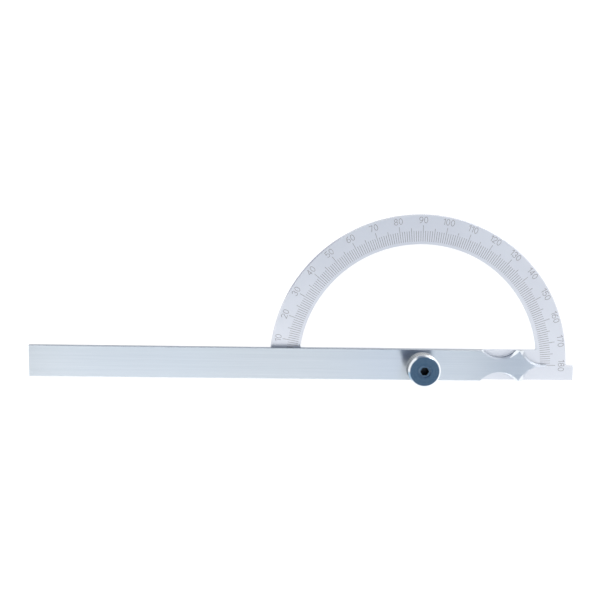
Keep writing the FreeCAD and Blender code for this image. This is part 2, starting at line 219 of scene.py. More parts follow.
def new_material(name):
    """An empty node material, its tree and the input that its shader goes to."""
    material = bpy.data.materials.new(name)
    material.use_nodes = True
    tree = material.node_tree
    tree.nodes.clear()
    return material, tree, add_node(tree, "ShaderNodeOutputMaterial").inputs["Surface"]


print("a rectangle 2 wide and 1 high:", rectangle(1.0, 0.5))

# %% Lay the white table
TABLE_HALF_WIDTH = 2.0
TABLE_GLOW = 0.80
TABLE_COLOUR = (0.28, 0.28, 0.28, 1)
TABLE_DROP = 0.02 * MM

table_white, tree, surface = new_material("table_white")
cloth = add_node(tree, "ShaderNodeBsdfDiffuse", color=TABLE_COLOUR)
glow = add_node(tree, "ShaderNodeEmission")
glowing_cloth = add_node(tree, "ShaderNodeAddShader")
feed(tree, (calculate(tree, "MULTIPLY", seen_directly(tree), TABLE_GLOW), glow.inputs["Strength"]),
     (cloth.outputs[0], glowing_cloth.inputs[0]), (glow.outputs[0], glowing_cloth.inputs[1]),
     (glowing_cloth.outputs[0], surface))

table = make_mesh_object("studio_table", rectangle(TABLE_HALF_WIDTH, TABLE_HALF_WIDTH), [(0, 1, 2, 3)])
table.data.materials.append(table_white)
table.location.z = -TABLE_DROP
table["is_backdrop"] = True
print("the table is", 2 * TABLE_HALF_WIDTH, "m wide and lies", TABLE_DROP / MM, "mm under the gauge")

# %% [markdown]
# ## Cards that the metal mirrors
#
# In an all-white room polished steel would look like white paint. A photographer hangs dark and grey
# cards round the object, out of the picture, and each one is there for one place on the metal that
# mirrors it. The knob's flat face mirrors a point beside and above it, a chamfer mirrors the low
# horizon on its own side, and the brushed arm draws every card out into a band across its width. Each
# card fades out towards its border, because a hard border would show as a line in the polished parts.
# The camera doesn't see the cards, and they are marked as stage, so they are no part of the gauge.


# %% Aim a card
def over(x, y, height):
    """A place above a point of the table, and that point as the aim."""
    return (x, y, height), (x, y, 0.0)


def beside(azimuth, elevation, distance):
    """A place that stands off from the pivot in a direction, in degrees, and the pivot as the aim.

    The azimuth goes round from +X and the elevation up from the table.
    """
    a, e = math.radians(azimuth), math.radians(elevation)
    level = distance * math.cos(e)
    return (level * math.cos(a), level * math.sin(a), distance * math.sin(e)), (0.0, 0.0, 0.0)


def frame_towards(place, aim):
    """A placing matrix whose local +Z points from a place to an aim and whose local X is level."""
    place, aim = np.array(place, float), np.array(aim, float)
    facing = (aim - place) / np.linalg.norm(aim - place)
    level = np.cross([0, 0, 1], facing)
    if np.linalg.norm(level) < 0.01:
        level = np.array([1.0, 0, 0])
    level /= np.linalg.norm(level)
    matrix = np.eye(4)
    matrix[:3] = np.stack([level, np.cross(facing, level), facing, place], axis=1)
    return Matrix(matrix.tolist())


print("1 m off and 45 degrees up behind the pivot is", [round(part, 3) for part in beside(90, 45, 1.0)[0]])


# %% Make a card
def place_on_piece(tree):
    """Where a shaded point lies, in the object's own coordinates."""
    return add_node(tree, "ShaderNodeTexCoord").outputs["Object"]


def make_card(name, place, aim, width, height, colour, soft):
    """A card that faces a point and fades out towards its border; metal sees it, the camera doesn't.

    How much of the card is there falls from 1 to 0 over the outer share `soft` of each half side, and
    the two sides' amounts are multiplied.
    """
    card = make_mesh_object(name, rectangle(width / 2, height / 2), [(0, 1, 2, 3)])
    card.matrix_world = frame_towards(place, aim)
    material, tree, surface = new_material(name)
    parts = add_node(tree, "ShaderNodeSeparateXYZ")
    feed(tree, (place_on_piece(tree), parts.inputs[0]))
    amounts = [map_range(tree, calculate(tree, "ABSOLUTE", part), half, half * (1 - soft),
                         interpolation_type="SMOOTHSTEP")
               for part, half in zip(parts.outputs, (width / 2, height / 2))]
    clear = add_node(tree, "ShaderNodeBsdfTransparent")
    paint = add_node(tree, "ShaderNodeEmission", color=(*colour, 1))
    mix = add_node(tree, "ShaderNodeMixShader")
    feed(tree, (calculate(tree, "MULTIPLY", *amounts), mix.inputs[0]), (clear.outputs[0], mix.inputs[1]),
         (paint.outputs[0], mix.inputs[2]), (mix.outputs[0], surface))
    card.data.materials.append(material)
    card.visible_camera = False
    card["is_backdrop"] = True


# %% Hang the cards
CARDS = {
    # name: (place and aim), width, height, colour, soft share of each half side
    # a cool sky over the arm's long face
    "arm_card": (over(-0.12, 0.12, 0.60), 0.46, 0.50, (0.03, 0.13, 0.26), 0.5),
    # the dark camera, which the plate's left half mirrors
    "camera_card": (over(-0.048, 0.005, 0.37), 0.14, 0.14, (0.02, 0.03, 0.05), 0.5),
    # a long blue strip for the dark band beside the knob
    "band_card": (over(0.094, 0.50, 0.60), 0.105, 0.97, (0.03, 0.14, 0.42), 0.2),
    # a strip for the pointer's face
    "pointer_card": (over(0.23, -0.16, 0.62), 0.11, 0.70, (0.03, 0.15, 0.36), 0.4),
    # the slate blue of the knob's flat face
    "knob_face_card": (((0.107, -0.15, 0.61), (0.0, 0.0, 0.0)), 0.15, 0.26, (0.11, 0.195, 0.285), 0.25),
    # the dark part of the chamfer on its far side
    "chamfer_card": (beside(98, 24, 0.75), 0.80, 0.56, (0.08, 0.14, 0.23), 0.6),
    # the thin dark line along the plate's outer edge
    "plate_edge_card": (beside(140, 4, 0.80), 0.62, 0.17, (0.20, 0.20, 0.29), 0.3),
    # two pale ones near the horizon, for the walls and the knurl that face left and near
    "left_low_card": (beside(217, 8, 0.8), 0.75, 0.45, (0.42, 0.58, 0.72), 0.3),
    "near_low_card": (beside(285, 8, 0.9), 1.30, 0.45, (0.42, 0.56, 0.70), 0.3),
}
for name, ((place, aim), width, height, colour, soft) in CARDS.items():
    make_card(name, place, aim, width, height, colour, soft)
    print(name, "at", [round(part, 3) for part in place])

# %% [markdown]
# ## Soft boxes
#
# Three soft lamps shape the light of the room. The near one brightens the arm's long face from the
# picture's lower side. The right one puts a white streak on the knob's chamfer. The far one only lifts
# the faces that look away from the camera. Its mirror image would sit as a bright square in the polished
# parts, so reflections don't see it.


# %% Set up the soft boxes
def make_soft_box(name, place, aim, width, height, watts):
    """A rectangular lamp at a place, turned to a point.

    A lamp shines along its own -Z, so it is turned half round from the way that a card faces.
    """
    data = bpy.data.lights.new(name, "AREA")
    data.shape = "RECTANGLE"
    data.size, data.size_y = width, height
    data.energy = watts
    lamp = bpy.data.objects.new(name, data)
    scene.collection.objects.link(lamp)
    lamp.matrix_world = frame_towards(place, aim) @ Matrix.Rotation(math.pi, 4, "X")
    return lamp


make_soft_box("near_soft_box", (0, -0.554, 0.709), (0, 0, 0), 0.8, 0.5, watts=3.05)
make_soft_box("right_soft_box", *beside(45, 14, 1.0), 0.6, 0.4, watts=2.3)
far_side_lamp = make_soft_box("far_side_lamp", *beside(100, 40, 0.6), 0.2, 0.2, watts=3.0)
far_side_lamp.visible_glossy = False

# %% [markdown]
# ## Brushed steel for the arm
#
# The arm is ground lengthwise: thousands of hairlines along it, so it spreads a reflection across its
# width and keeps it sharp along its length. That is why the knob leaves a straight-sided dark band on
# it. A plain rough metal would blur it all round. The shader's anisotropy gives the spread, with the
# tangent across the arm. The hairlines themselves could be drawn one by one, but a noise that is drawn
# out along the arm gives them all, and their tone, roughness and relief come from it.

# %% Draw a noise out into hairlines
HAIRLINES = (40, 4200, 4200)
BROAD_STREAKS = (9, 900, 900)
NOISE_REACH = 0.3, 0.7


def stretched_noise(tree, coordinates, scale, detail=3.0, roughness=0.6):
    """A noise whose cells are 1/scale long in each direction, so unequal scales draw it out to lines."""
    mapping = add_node(tree, "ShaderNodeMapping", scale=scale)
    noise = add_node(tree, "ShaderNodeTexNoise", scale=1.0, detail=detail, roughness=roughness)
    feed(tree, (coordinates, mapping.inputs["Vector"]), (mapping.outputs[0], noise.inputs["Vector"]))
    return noise.outputs["Fac"]


def spread_between(tree, noise, low, high):
    """A noise, which mostly stays within its reach, mapped to run from low to high."""
    return map_range(tree, noise, *NOISE_REACH, low, high)


for name, (along, across, _) in (("hairline", HAIRLINES), ("broad streak", BROAD_STREAKS)):
    print("a", name, "is", round(1 / along / MM), "mm long and", round(1 / across / MM, 2), "mm wide")

# %% [markdown]
# ## Face, bevel and wall
#
# The arm's bevels were cut after the brushing and are smoother, and its walls are plain cut steel. The
# bevels get a paler tone, a painted highlight, and the walls a dark blue one, a painted shade. They could
# be picked out by hand as groups of faces, but a CAD mesh changes whenever the model does. What stays is
# how
# they lie: the normal points straight up or down on a face, sideways on a wall, and in between on a bevel.
# Its part along Z is all that the material has to ask for.

# %% Tell face, bevel and wall apart
FACE_NORMAL = 0.93, 0.98
BEVEL_NORMAL = 0.15, 0.25


def lying_flat(tree, from_z, to_z):
    """0 where the surface is steep, 1 where it lies flat, on the front or the back.

    What counts is the size of the normal's part along the piece's Z, between from_z and to_z.
    """
    normal = add_node(tree, "ShaderNodeTexCoord").outputs["Normal"]
    parts = add_node(tree, "ShaderNodeSeparateXYZ")
    feed(tree, (normal, parts.inputs[0]))
    return map_range(tree, calculate(tree, "ABSOLUTE", parts.outputs[2]), from_z, to_z)


# a Mix node has its factor at input 0, numbers at 2 and 3 with output 0, colours at 6 and 7 with output 2
def blend_values(tree, amount, first, second):
    """The first number where the amount is 0, the second where it is 1, and a mix between."""
    mix = add_node(tree, "ShaderNodeMix", data_type="FLOAT")
    feed(tree, (amount, mix.inputs[0]), (first, mix.inputs[2]), (second, mix.inputs[3]))
    return mix.outputs[0]


def blend_colours(tree, amount, first, second):
    """The first colour where the amount is 0, the second where it is 1, and a mix between."""
    mix = add_node(tree, "ShaderNodeMix", data_type="RGBA")
    feed(tree, (amount, mix.inputs[0]), (first, mix.inputs[6]), (second, mix.inputs[7]))
    return mix.outputs[2]


def tint_between(tree, amount, dark, light):
    """A mix of two fixed colours."""
    return blend_colours(tree, amount, (*dark, 1), (*light, 1))


wall_tilt, face_tilt = (math.degrees(math.acos(part)) for part in (BEVEL_NORMAL[0], FACE_NORMAL[1]))
print("a wall tilts by over", round(wall_tilt), "degrees and a face by under", round(face_tilt))

# %% Make the arm's material
ARM_FACE = (0.53, 0.58, 0.63), (0.61, 0.655, 0.70)
# the bevels' paler tone is a painted highlight, the walls' dark blue one a painted shade
ARM_BEVEL_HIGHLIGHT = (0.74, 0.78, 0.83), (0.80, 0.84, 0.88)
ARM_WALL_SHADE = (0.10, 0.135, 0.19), (0.16, 0.20, 0.26)
ARM_FACE_ROUGHNESS = 0.30, 0.37
ARM_EDGE_ROUGHNESS = 0.10, 0.16
STREAK_SHARE = 0.4
HAIRLINE_RELIEF = 0.25, 0.010 * MM
ACROSS_THE_ARM = (0, 1, 0)


def world_direction(tree, direction):
    """A direction fixed to the piece, as the shader's tangent wants it."""
    fixed = add_node(tree, "ShaderNodeCombineXYZ")
    feed(tree, *zip(direction, fixed.inputs))
    turned = add_node(tree, "ShaderNodeVectorTransform", vector_type="VECTOR",
                      convert_from="OBJECT", convert_to="WORLD")
    feed(tree, (fixed.outputs[0], turned.inputs[0]))
    return turned.outputs[0]


def finish_metal(tree, surface, tone, roughness, height, relief, **settings):
    """A metal shader with its tone, its roughness and a fine relief.

    The relief follows a height from 0 to 1 and is given as its strength and its depth.
    """
    strength, depth = relief
    metal = add_node(tree, "ShaderNodeBsdfPrincipled", metallic=1.0, **settings)
    relief = add_node(tree, "ShaderNodeBump", strength=strength, distance=depth)
    feed(tree, (tone, metal.inputs["Base Color"]), (roughness, metal.inputs["Roughness"]),
         (height, relief.inputs["Height"]), (relief.outputs[0], metal.inputs["Normal"]),
         (metal.outputs[0], surface))
    return metal


brushed_arm, tree, surface = new_material("brushed_arm_steel")
hairlines = stretched_noise(tree, place_on_piece(tree), HAIRLINES)
streaks = stretched_noise(tree, place_on_piece(tree), BROAD_STREAKS, detail=2.0)
line_tone = spread_between(tree, blend_values(tree, STREAK_SHARE, hairlines, streaks), 0, 1)
on_face = lying_flat(tree, *FACE_NORMAL)
edge_tone = blend_colours(tree, lying_flat(tree, *BEVEL_NORMAL), tint_between(tree, line_tone, *ARM_WALL_SHADE),
                          tint_between(tree, line_tone, *ARM_BEVEL_HIGHLIGHT))
arm_tone = blend_colours(tree, on_face, edge_tone, tint_between(tree, line_tone, *ARM_FACE))
arm_roughness = blend_values(tree, on_face, spread_between(tree, hairlines, *ARM_EDGE_ROUGHNESS),
                             spread_between(tree, hairlines, *ARM_FACE_ROUGHNESS))
steel = finish_metal(tree, surface, arm_tone, arm_roughness, hairlines, HAIRLINE_RELIEF, anisotropic=1.0)
feed(tree, (world_direction(tree, ACROSS_THE_ARM), steel.inputs["Tangent"]))
print(brushed_arm.name, "has", len(tree.nodes), "nodes")

# %% [markdown]
# ## Satin plate
# The degree plate is blasted and satin plated, paler and more even than the arm, so the marks read
# well from any side. It is a metal with a broad, even reflection. One tone all over would look like
# paint, so a noise as fine as the blasting and a cloudy one as wide as a finger share the tone between
# them. The edges were ground after the blasting and are smoother, and they get a darker tone, a painted
# shade.

# %% Make the plate's material
PLATE_FACE = (0.705, 0.72, 0.765), (0.765, 0.785, 0.83)
# the walls' darker tone is a painted shade along the plate's edges
PLATE_WALL_SHADE = (0.56, 0.60, 0.67), (0.63, 0.67, 0.73)
PLATE_FACE_ROUGHNESS = 0.46, 0.56
PLATE_EDGE_ROUGHNESS = 0.16, 0.24
BLASTED_NORMAL = 0.8, 0.9
BLASTED_GRAIN = 5200
CLOUDS = 60
CLOUD_SHARE = 0.5
GRAIN_RELIEF = 0.2, 0.008 * MM

satin_plate, tree, surface = new_material("satin_plate_steel")
grain = stretched_noise(tree, place_on_piece(tree), (BLASTED_GRAIN,) * 3, detail=2.0)
clouds = stretched_noise(tree, place_on_piece(tree), (CLOUDS,) * 3, detail=2.0)
tone = spread_between(tree, blend_values(tree, CLOUD_SHARE, grain, clouds), 0, 1)
plate_tone = blend_colours(tree, lying_flat(tree, *BEVEL_NORMAL), tint_between(tree, tone, *PLATE_WALL_SHADE),
                           tint_between(tree, tone, *PLATE_FACE))
plate_roughness = blend_values(tree, lying_flat(tree, *BLASTED_NORMAL),
                               spread_between(tree, grain, *PLATE_EDGE_ROUGHNESS),
                               spread_between(tree, grain, *PLATE_FACE_ROUGHNESS))
finish_metal(tree, surface, plate_tone, plate_roughness, grain, GRAIN_RELIEF)
print("the grain is", round(1 / BLASTED_GRAIN / MM, 2), "mm wide and a cloud", round(1 / CLOUDS / MM), "mm")

# %% [markdown]
# ## The turned and plated knob
#
# The knob's face was turned on a lathe, which leaves fine rings round its centre, and then it was
# plated bright. The rings could be modelled, but they are only a few thousandths of a millimetre deep,
# so a noise on the distance from the axis stands for them. The piece sits with the axis at its origin,
# so that distance comes straight from Object coordinates. The same recipe, with other colours and
# roughness, serves every turned piece, so it is written once as a function.

# %% Make a recipe for turned metal
FINE_RINGS, COARSE_RINGS = 4500, 3500
POLISHED_RELIEF = 0.2, 0.003 * MM
TURNED_RELIEF = 0.2, 0.010 * MM


def distance_and_height(tree):
    """The distance from the piece's axis, which is the length of (x, y, 0), and the height along it."""
    place = place_on_piece(tree)
    flat = add_node(tree, "ShaderNodeVectorMath", operation="MULTIPLY")
    distance = add_node(tree, "ShaderNodeVectorMath", operation="LENGTH")
    parts = add_node(tree, "ShaderNodeSeparateXYZ")
    feed(tree, (place, flat.inputs[0]), ((1, 1, 0), flat.inputs[1]), (flat.outputs[0], distance.inputs[0]),
         (place, parts.inputs[0]))
    return distance.outputs["Value"], parts.outputs[2]


def turned_metal(name, tones, roughness, ring_scale, relief):
    """A lathe-turned metal: tone, roughness and relief all follow a noise on the distance from the axis."""
    material, tree, surface = new_material(name)
    distance, height = distance_and_height(tree)
    rings_at = add_node(tree, "ShaderNodeCombineXYZ")
    feed(tree, (distance, rings_at.inputs[0]), (height, rings_at.inputs[1]))
    rings = stretched_noise(tree, rings_at.outputs[0], (ring_scale, ring_scale, 1), detail=2.0)
    share = spread_between(tree, rings, 0, 1)
    metal = finish_metal(tree, surface, tint_between(tree, share, *tones),
                         spread_between(tree, rings, *roughness), rings, relief)
    return material, metal, share


print("the rings are", [round(1 / scale / MM, 2) for scale in (FINE_RINGS, COARSE_RINGS)], "mm apart")

# %% [markdown]
# ## The knob's zones
#
# The knob is one piece of steel with five looks. Its front face is turned, and it gets a darker, bluer tone
# than the chamfer round it: the face's tone is a painted reflection of the dark room, the chamfer's pale
# one a painted highlight. The knurl's crests were pressed and not polished, so they scatter light, and
# their near-white tone is a painted highlight; its grooves get a near-black tone, a painted shade. The foot
# of the head and the neck get a dark tone too, the painted shade under the head. Five materials would need
# the mesh cut into five, so one material works out from the distance and the height which zone a point lies
# in. The heights are counted from the top of the piece's own box. From one zone to the next the look fades
# over a tenth of a millimetre at most, so no border is jagged.


# %% Give a part of a turned metal another look
def zone(tree, value, start, end):
    """1 where a value has passed from start to end, 0 before it."""
    return map_range(tree, value, start, end)


def within_both(tree, first, second):
    """1 only where both amounts are 1: their product."""
    return calculate(tree, "MULTIPLY", first, second)


def second_look(material, metal, share, amount, tones, roughness):
    """Give another tone and roughness to the part of a turned metal where an amount is 1."""
    tree = material.node_tree
    tone_so_far = metal.inputs["Base Color"].links[0].from_socket
    roughness_so_far = metal.inputs["Roughness"].links[0].from_socket
    feed(tree, (blend_colours(tree, amount, tone_so_far, tint_between(tree, share, *tones)),
                metal.inputs["Base Color"]),
         (blend_values(tree, amount, roughness_so_far, map_range(tree, share, 0, 1, *roughness)),
          metal.inputs["Roughness"]))


# %% Finish the knob's chamfer and its face
# the chamfer's pale tone is a painted highlight, the face's dark blue one a painted reflection
KNOB_CHAMFER_HIGHLIGHT = (0.84, 0.87, 0.91), (0.90, 0.92, 0.95)
KNOB_FACE_REFLECTION = (0.38, 0.46, 0.56), (0.46, 0.55, 0.65)
CHAMFER_ROUGHNESS = 0.10, 0.16
FACE_ROUGHNESS = 0.10, 0.15
FACE_RIM = 5.5 * MM
FACE_FADE = np.array([0.32, 0.24]) * MM

knob_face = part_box("clamp_knob")[1].z
knob_metal = turned_metal("plated_knob_steel", KNOB_CHAMFER_HIGHLIGHT, CHAMFER_ROUGHNESS, FINE_RINGS, POLISHED_RELIEF)
tree = knob_metal[0].node_tree
distance, height = distance_and_height(tree)
on_face = within_both(tree, zone(tree, height, *(knob_face - FACE_FADE)),
                      zone(tree, distance, *(FACE_RIM + FACE_FADE)))
second_look(*knob_metal, on_face, KNOB_FACE_REFLECTION, FACE_ROUGHNESS)
print("the knob's face is at", round(knob_face / MM, 2), "mm")

# %% Finish the knurl and the neck
# the crests' near-white tone is a painted highlight; the grooves' and the neck's dark tones are painted
# shade
KNURL_CREST_HIGHLIGHT = (0.90, 0.92, 0.94), (0.95, 0.96, 0.98)
KNURL_GROOVE_SHADE = (0.020, 0.032, 0.055), (0.045, 0.065, 0.095)
NECK_SHADE = (0.045, 0.06, 0.08), (0.08, 0.095, 0.12)
CREST_ROUGHNESS = 0.30, 0.38
DULL_ROUGHNESS = 0.3, 0.4
CREST_METAL = 0.1
CHAMFER_DEPTH = 0.80 * MM
KNURL_CREST = 6.35 * MM
HEAD_HEIGHT = 7.2 * MM
SIDE_FADE = np.array([0, 0.06]) * MM
CREST_FADE = np.array([0.04, 0.02]) * MM
GROOVE_FADE = np.array([0.03, 0.07]) * MM
FOOT_FADE = np.array([0.75, 0.65]) * MM

head_foot = knob_face - HEAD_HEIGHT
on_side = zone(tree, height, *(knob_face - CHAMFER_DEPTH - SIDE_FADE))
on_crest = within_both(tree, on_side, zone(tree, distance, *(KNURL_CREST - CREST_FADE)))
second_look(*knob_metal, on_crest, KNURL_CREST_HIGHLIGHT, CREST_ROUGHNESS)
in_groove = within_both(tree, on_side, zone(tree, distance, *(KNURL_CREST - GROOVE_FADE)))
second_look(*knob_metal, in_groove, KNURL_GROOVE_SHADE, DULL_ROUGHNESS)
under_head = zone(tree, height, *(head_foot + FOOT_FADE))
second_look(*knob_metal, under_head, NECK_SHADE, DULL_ROUGHNESS)
feed(tree, (map_range(tree, on_crest, 0, 1, 1.0, CREST_METAL), knob_metal[1].inputs["Metallic"]))
print("the foot of the head is at", round(head_foot / MM, 2), "mm")

# %% [markdown]
# ## The screw's dark socket
#
# The end of the clamp screw shows as a ring in the middle of the knob. It is plated like the knob's face
# and gets the same kind of dark blue tone, a painted reflection. The six-sided socket in it is deep and in
# shade.
# The mesh has the socket's real depth, but in an all-white room its walls would still mirror some white, so
# they get a near-black tone of their own, a painted shade, from just under the rim down.

# %% Finish the screw
# the screw's dark blue tone is a painted reflection, the socket's near-black one a painted shade
SCREW_PAINTED_REFLECTION = (0.38, 0.46, 0.55), (0.47, 0.56, 0.65)
SOCKET_SHADE = (0.020, 0.024, 0.030), (0.035, 0.040, 0.048)
SCREW_ROUGHNESS = 0.12, 0.18
SOCKET_ROUGHNESS = 0.35, 0.5
SOCKET_RIM = 1.8 * MM
RIM_FADE = np.array([0.1, 0]) * MM
SOCKET_FADE = np.array([0.05, 0.12]) * MM

screw_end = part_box("clamp_screw")[1].z
screw_metal = turned_metal("plated_screw_steel", SCREW_PAINTED_REFLECTION, SCREW_ROUGHNESS, FINE_RINGS, POLISHED_RELIEF)
tree = screw_metal[0].node_tree
distance, height = distance_and_height(tree)
in_socket = within_both(tree, zone(tree, height, *(screw_end - SOCKET_FADE)),
                        zone(tree, distance, *(SOCKET_RIM + RIM_FADE)))
second_look(*screw_metal, in_socket, SOCKET_SHADE, SOCKET_ROUGHNESS)
print("the screw's end is at", round(screw_end / MM, 2), "mm")

# %% [markdown]
# ## Bush and washers
#
# The bush and the flat washer are plain turned steel that nobody polishes, so they get the same turned
# metal, rougher and greyer. The spring washer is hardened and left with its dark scale. Hardly any of
# them shows while the knob is tight, but they do when it is loosened or the gauge is turned over.

# %% Finish the bush and the washers
BUSH_STEEL = (0.58, 0.60, 0.64), (0.70, 0.72, 0.75)
WASHER_STEEL = (0.55, 0.57, 0.61), (0.66, 0.68, 0.72)
SPRING_STEEL = (0.26, 0.27, 0.29), (0.36, 0.37, 0.39)
BUSH_ROUGHNESS = 0.28, 0.40
WASHER_ROUGHNESS = 0.30, 0.42
SPRING_ROUGHNESS = 0.35, 0.45

bush_metal, washer_metal, spring_metal = (
    turned_metal(name, tones, roughness, COARSE_RINGS, TURNED_RELIEF)[0]
    for name, tones, roughness in (("turned_bush_steel", BUSH_STEEL, BUSH_ROUGHNESS),
                                   ("turned_washer_steel", WASHER_STEEL, WASHER_ROUGHNESS),
                                   ("dark_spring_steel", SPRING_STEEL, SPRING_ROUGHNESS)))
print("made", bush_metal.name, washer_metal.name, spring_metal.name)

# %% [markdown]
# ## Dress the solids
#
# A material goes into a slot of the mesh that shows it. The solids could be given better edges here
# too, but their shapes belong to the CAD model, and a change made here would be lost on the way back to
# it. So every solid keeps its mesh, and only the material in its slot is changed.

# %% Dress every solid
finishes = {
    "scale_plate": satin_plate,
    "swing_arm": brushed_arm,
    "clamp_knob": knob_metal[0],
    "clamp_screw": screw_metal[0],
    "pivot_bush": bush_metal,
    "thrust_washer": washer_metal,
    "spring_washer": spring_metal,
}
for name, finish in finishes.items():
    slots = nodes[name].data.materials
    slots.clear()
    slots.append(finish)
    print(name, "gets", finish.name)

# %% [markdown]
# ## The degree marks
#
# Real marks are etched lines filled with dark paint: one for every degree, longer at every fifth and
# longest at every tenth. An image could show them, but it would blur up close. Here each mark is a low
# bar of paint, and all 181 are computed at once: a bar's four corners are placed beside its own line
# from the pivot. The bars stand a hair out of the plate, because an engraving would need its solid cut.

# %% Compute the marks
PAINT_SUNK, PAINT_PROUD = 0.002 * MM, 0.008 * MM
MARK_FOOT, MARK_TOP = plate_face - PAINT_SUNK, plate_face + PAINT_PROUD
MARK_START = 49.3 * MM
MARK_WIDTH = 0.17 * MM
MARK_ENDS = {1: 53.5 * MM, 5: 54.6 * MM, 10: 55.7 * MM}


def degree_bars(labels, start, ends, width):
    """Bars along lines from the pivot.

    Label L lies at 180 - L degrees from +X. A corner is its distance along that line plus or minus
    half the width square to it, at the paint's foot and top.
    """
    angle = np.radians(180.0 - labels)
    along = np.stack([np.cos(angle), np.sin(angle)], axis=-1)
    across = np.stack([-along[:, 1], along[:, 0]], axis=-1)
    reach = np.stack([np.full(len(labels), start), ends, ends, np.full(len(labels), start)], axis=1)
    side = np.array([-0.5, -0.5, 0.5, 0.5]) * width
    flat = reach[:, :, None] * along[:, None, :] + side[None, :, None] * across[:, None, :]
    points = np.empty((len(labels), 2, 4, 3))
    points[..., :2] = flat[:, None]
    points[:, 0, :, 2] = MARK_FOOT
    points[:, 1, :, 2] = MARK_TOP
    block = np.array([(3, 2, 1, 0), (4, 5, 6, 7), (0, 1, 5, 4), (1, 2, 6, 5), (2, 3, 7, 6), (3, 0, 4, 7)])
    faces = block[None] + 8 * np.arange(len(labels))[:, None, None]
    return points.reshape(-1, 3), faces.reshape(-1, 4)


labels = np.arange(0, 181)
ends = np.where(labels % 10 == 0, MARK_ENDS[10], np.where(labels % 5 == 0, MARK_ENDS[5], MARK_ENDS[1]))
bar_points, bar_faces = degree_bars(labels, MARK_START, ends, MARK_WIDTH)
degree_marks = make_mesh_object("degree_marks", bar_points, bar_faces)
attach(degree_marks, "plate")
print(len(labels), "marks,", len(bar_faces), "faces")

# %% [markdown]
# ## The numerals
#
# Every tenth degree has its number, 10 to 180, written with a thin round-ended stroke and standing on
# its mark with its top outward. A font would bring strokes of its own, so each digit is drawn as a
# draughtsman does, with lines and parts of ellipses in a box one unit high. Where two strokes meet at a
# corner, both end there, so that no stroke turns a sharp corner.

# %% Draw the digits
DIGIT_WIDTH = W = 0.57
ONE_WIDTH = 0.30
POINTS_PER_LINE = 7


def bend(cx, cy, rx, ry, first, last, steps=18):
    """Part of an ellipse about (cx, cy) from one angle to another, in degrees.

    A point is the centre plus rx times the angle's cosine across and ry times its sine up.
    """
    angle = np.radians(np.linspace(first, last, steps))
    return np.stack([cx + rx * np.cos(angle), cy + ry * np.sin(angle)], axis=1)


def straight(*corners):
    """One straight stroke from each corner to the next, as evenly spaced points."""
    corners = np.array(corners)
    return [np.linspace(a, b, POINTS_PER_LINE) for a, b in zip(corners[:-1], corners[1:])]


def joined(*runs):
    """Runs that meet smoothly made one stroke; the point that two of them share is kept once."""
    return [np.concatenate([run[:-1] for run in runs[:-1]] + [runs[-1]])]


DIGITS = {
    "0": [bend(W / 2, 0.5, W / 2, 0.5, 90, 450, 40)],
    "1": straight((0, 0.78), (ONE_WIDTH, 1.0), (ONE_WIDTH, 0.0)),
    "2": joined(bend(W / 2, 0.72, W / 2, 0.28, 165, -30), *straight((W * 0.86, 0.54), (0, 0)))
         + straight((0, 0), (W, 0)),
    "3": [bend(W / 2, 0.75, W * 0.46, 0.25, 160, -80), bend(W / 2, 0.27, W / 2, 0.27, 80, -160)],
    "4": straight((W * 0.72, 0), (W * 0.72, 1.0), (0, 0.28), (W, 0.28)),
    "5": straight((W * 0.92, 1.0), (W * 0.14, 1.0), (W * 0.08, 0.52))
         + joined(np.array([(W * 0.08, 0.52), (W * 0.12, 0.54)]),
                  bend(W / 2, 0.31, W / 2, 0.31, 126, -150)),
    "6": [bend(W * 0.95, 0.30, W * 0.95, 0.70, 95, 180), bend(W / 2, 0.30, W / 2, 0.30, 180, 540, 30)],
    "7": straight((0, 1.0), (W, 1.0), (W * 0.34, 0)),
    "8": [bend(W / 2, 0.76, W * 0.43, 0.24, -90, 270, 30), bend(W / 2, 0.26, W / 2, 0.26, 90, 450, 30)],
    "9": [bend(W * 0.05, 0.70, W * 0.95, 0.70, -85, 0), bend(W / 2, 0.70, W / 2, 0.30, 0, 360, 30)],
}
print("strokes in each digit:", {digit: len(strokes) for digit, strokes in DIGITS.items()})

# %% [markdown]
# ## The pen
#
# A round pen leaves an even line with a half circle at both ends. So a bar of paint follows each stroke,
# and its edges are the stroke's points moved half a width to the left and right. That holds for a gentle
# bend. At a sharp corner the inner edge would fold over itself, which is why the digits have none.

# %% Turn a stroke into a bar of paint
NUMERAL_STROKE = 0.18 * MM
PEN_POINT = 0.001 * MM
PEN_ANGLES = np.radians([0, 30, 60, 90])


def pen_line(path, width):
    """A stroke's points, the direction square to it at each, half its width there, and if it is closed.

    A closed path's last point meets its first, and its width is even. An open path gets a half circle
    at both ends: at an angle's cosine times half a width beyond the end, the half width is the angle's
    sine times itself.
    """
    closed = np.linalg.norm(path[0] - path[-1]) < width / 10
    if closed:
        path = path[:-1]
        ahead = np.roll(path, -1, axis=0) - np.roll(path, 1, axis=0)
    else:
        ahead = np.gradient(path, axis=0)
    ahead /= np.linalg.norm(ahead, axis=1)[:, None]
    square = np.stack([-ahead[:, 1], ahead[:, 0]], axis=1)
    half = np.full(len(path), width / 2)
    if not closed:
        beyond = width / 2 * np.cos(PEN_ANGLES)[:, None]
        narrow = width / 2 * np.sin(PEN_ANGLES) + PEN_POINT
        start, finish = path[0] - ahead[0] * beyond, path[-1] + ahead[-1] * beyond[::-1]
        at_start, at_finish = (np.repeat(square[end][None], len(PEN_ANGLES), axis=0) for end in (0, -1))
        path = np.concatenate([start, path[1:-1], finish])
        square = np.concatenate([at_start, square[1:-1], at_finish])
        half = np.concatenate([narrow, half[1:-1], narrow[::-1]])
    return path, square, half, closed


